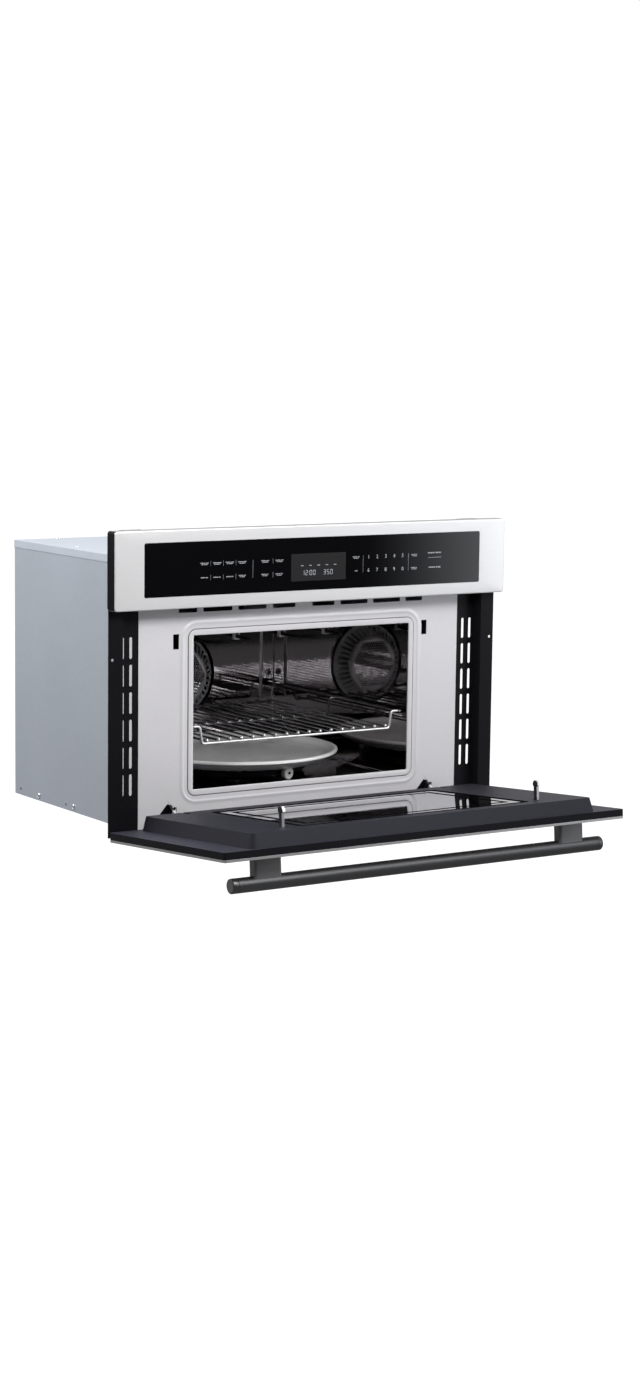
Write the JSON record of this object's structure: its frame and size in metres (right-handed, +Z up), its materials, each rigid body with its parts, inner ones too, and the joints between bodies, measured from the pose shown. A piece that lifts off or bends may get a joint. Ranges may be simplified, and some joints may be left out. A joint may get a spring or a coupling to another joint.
{
  "type": "built-in microwave oven",
  "caption": "Built-in convection microwave with a drop-down door, bar handle, touch control panel, trim flanges, rack and turntable",
  "frame": {"origin": "middle of the base pan's underside", "axes": "+Z up, +Y to the back, +X to the right seen from the front; the door faces -Y"},
  "size_m": [0.757, 0.8666, 0.5201],
  "materials": {
    "cabinet_steel": "galvanised sheet",
    "front_steel": "silver paint",
    "black_trim": "satin black",
    "stainless": "brushed",
    "handle_steel": "brushed, dark",
    "cavity_steel": "polished",
    "black_plastic": "moulded",
    "charcoal_plastic": "moulded, semi gloss",
    "black_glass": "gloss, printed from behind",
    "tinted_glass": "tinted",
    "tray_ceramic": "glazed",
    "white_plastic": "moulded",
    "chrome_wire": "plated",
    "heater_tube": "oxidised",
    "inner_metal": "bare",
    "core_iron": "varnished",
    "board": "circuit board",
    "mica": "mica sheet",
    "zinc_screw": "zinc plated"
  },
  "bodies": {
    "cabinet": {"base_pan": "cabinet_steel", "side_panels": "cabinet_steel", "top_cover": "cabinet_steel", "rear_panel": "cabinet_steel", "rear_motor_cover": "cabinet_steel", "front_plate": "front_steel", "trim_flanges": "black_trim", "control_fascia": "stainless", "end_caps": "black_plastic", "control_glass": "black_glass", "panel_carrier": "black_plastic", "display_module": "black_plastic", "control_board": "board", "panel_back_cover": "cabinet_steel", "cavity_floor": "cavity_steel", "cavity_ceiling": "cavity_steel", "cavity_left_wall": "cavity_steel", "cavity_right_wall": "cavity_steel", "cavity_rear_wall": "cavity_steel", "convection_cover": "cavity_steel", "convection_housing": "inner_metal", "convection_heater": "heater_tube", "convection_motor": "core_iron", "grill_element": "heater_tube", "grill_clips": "white_plastic", "rack_rails": "cavity_steel", "waveguide": "inner_metal", "waveguide_cover": "mica", "magnetron": "inner_metal", "transformer": "core_iron", "capacitor": "inner_metal", "cooling_fan_frame": "black_plastic", "cooling_motor": "core_iron", "cavity_lamp": "inner_metal", "latch_brackets": "black_plastic", "interlock_switches": "black_plastic", "turntable_motor": "inner_metal", "hinge_brackets": "inner_metal", "cord_gland": "black_plastic", "cabinet_screws": "zinc_screw"},
    "door": {"door_skin": "stainless", "door_frame": "black_plastic", "door_choke_cover": "charcoal_plastic", "door_window_pane": "tinted_glass", "door_screen": "inner_metal", "door_outer_glass": "tinted_glass", "handle_bar": "handle_steel", "handle_posts": "handle_steel", "hinge_pins": "inner_metal"},
    "left_latch": {"left_latch_hook": "inner_metal"},
    "right_latch": {"right_latch_hook": "inner_metal"},
    "rack": {"wire_rack": "chrome_wire"},
    "turntable": {"turntable_tray": "tray_ceramic", "turntable_coupler": "white_plastic"},
    "roller_carriage": {"roller_ring": "white_plastic"},
    "wheel_1": {"roller_1": "white_plastic"},
    "wheel_2": {"roller_2": "white_plastic"},
    "wheel_3": {"roller_3": "white_plastic"},
    "convection_rotor": {"convection_fan": "inner_metal"},
    "cooling_rotor": {"cooling_fan": "white_plastic"}
  },
  "joints": [
    {"name": "door_hinge", "type": "hinge", "parent": "cabinet", "child": "door", "pos_m": [0, -0.25158, 0.0078], "axis": [1, 0, 0], "range_deg": [-85.48, 0]},
    {"name": "left_latch_dip", "type": "hinge", "parent": "door", "child": "left_latch", "pos_m": [-0.243, -0.54553, 0.04797], "axis": [1, 0, 0], "range_deg": [-5, 0], "stiffness_Nm_per_rad": 0.5, "springref_deg": 2.86},
    {"name": "right_latch_dip", "type": "hinge", "parent": "door", "child": "right_latch", "pos_m": [0.243, -0.54553, 0.04797], "axis": [1, 0, 0], "range_deg": [-5, 0], "stiffness_Nm_per_rad": 0.5, "springref_deg": 2.86},
    {"name": "rack_slide", "type": "slide", "parent": "cabinet", "child": "rack", "axis": [0, -1, 0], "range_m": [0, 0.01]},
    {"name": "turntable_spin", "type": "hinge", "parent": "cabinet", "child": "turntable", "pos_m": [0, -0.0068, 0.0605], "axis": [0, 0, 1], "continuous": true},
    {"name": "roller_ring_spin", "type": "hinge", "parent": "cabinet", "child": "roller_carriage", "pos_m": [0, -0.0068, 0.0605], "axis": [0, 0, 1], "continuous": true},
    {"name": "wheel_1_roll", "type": "hinge", "parent": "roller_carriage", "child": "wheel_1", "pos_m": [0.02703, -0.13396, 0.0605], "axis": [0.2079, -0.9781, 0], "continuous": true},
    {"name": "wheel_2_roll", "type": "hinge", "parent": "roller_carriage", "child": "wheel_2", "pos_m": [0.09661, 0.08019, 0.0605], "axis": [0.7431, 0.6691, 0], "continuous": true},
    {"name": "wheel_3_roll", "type": "hinge", "parent": "roller_carriage", "child": "wheel_3", "pos_m": [-0.12364, 0.03337, 0.0605], "axis": [-0.9511, 0.309, 0], "continuous": true},
    {"name": "convection_spin", "type": "hinge", "parent": "cabinet", "child": "convection_rotor", "pos_m": [0.005, 0.2074, 0.19], "axis": [0, 1, 0], "continuous": true},
    {"name": "cooling_spin", "type": "hinge", "parent": "cabinet", "child": "cooling_rotor", "pos_m": [-0.034, 0.035, 0.376], "axis": [1, 0, 0], "continuous": true}
  ],
  "couplings": [
    {"joint": "roller_ring_spin", "follows": "turntable_spin", "ratio": 0.5},
    {"joint": "wheel_1_roll", "follows": "turntable_spin", "ratio": -6.1905},
    {"joint": "wheel_2_roll", "follows": "turntable_spin", "ratio": -6.1905},
    {"joint": "wheel_3_roll", "follows": "turntable_spin", "ratio": -6.1905}
  ]
}
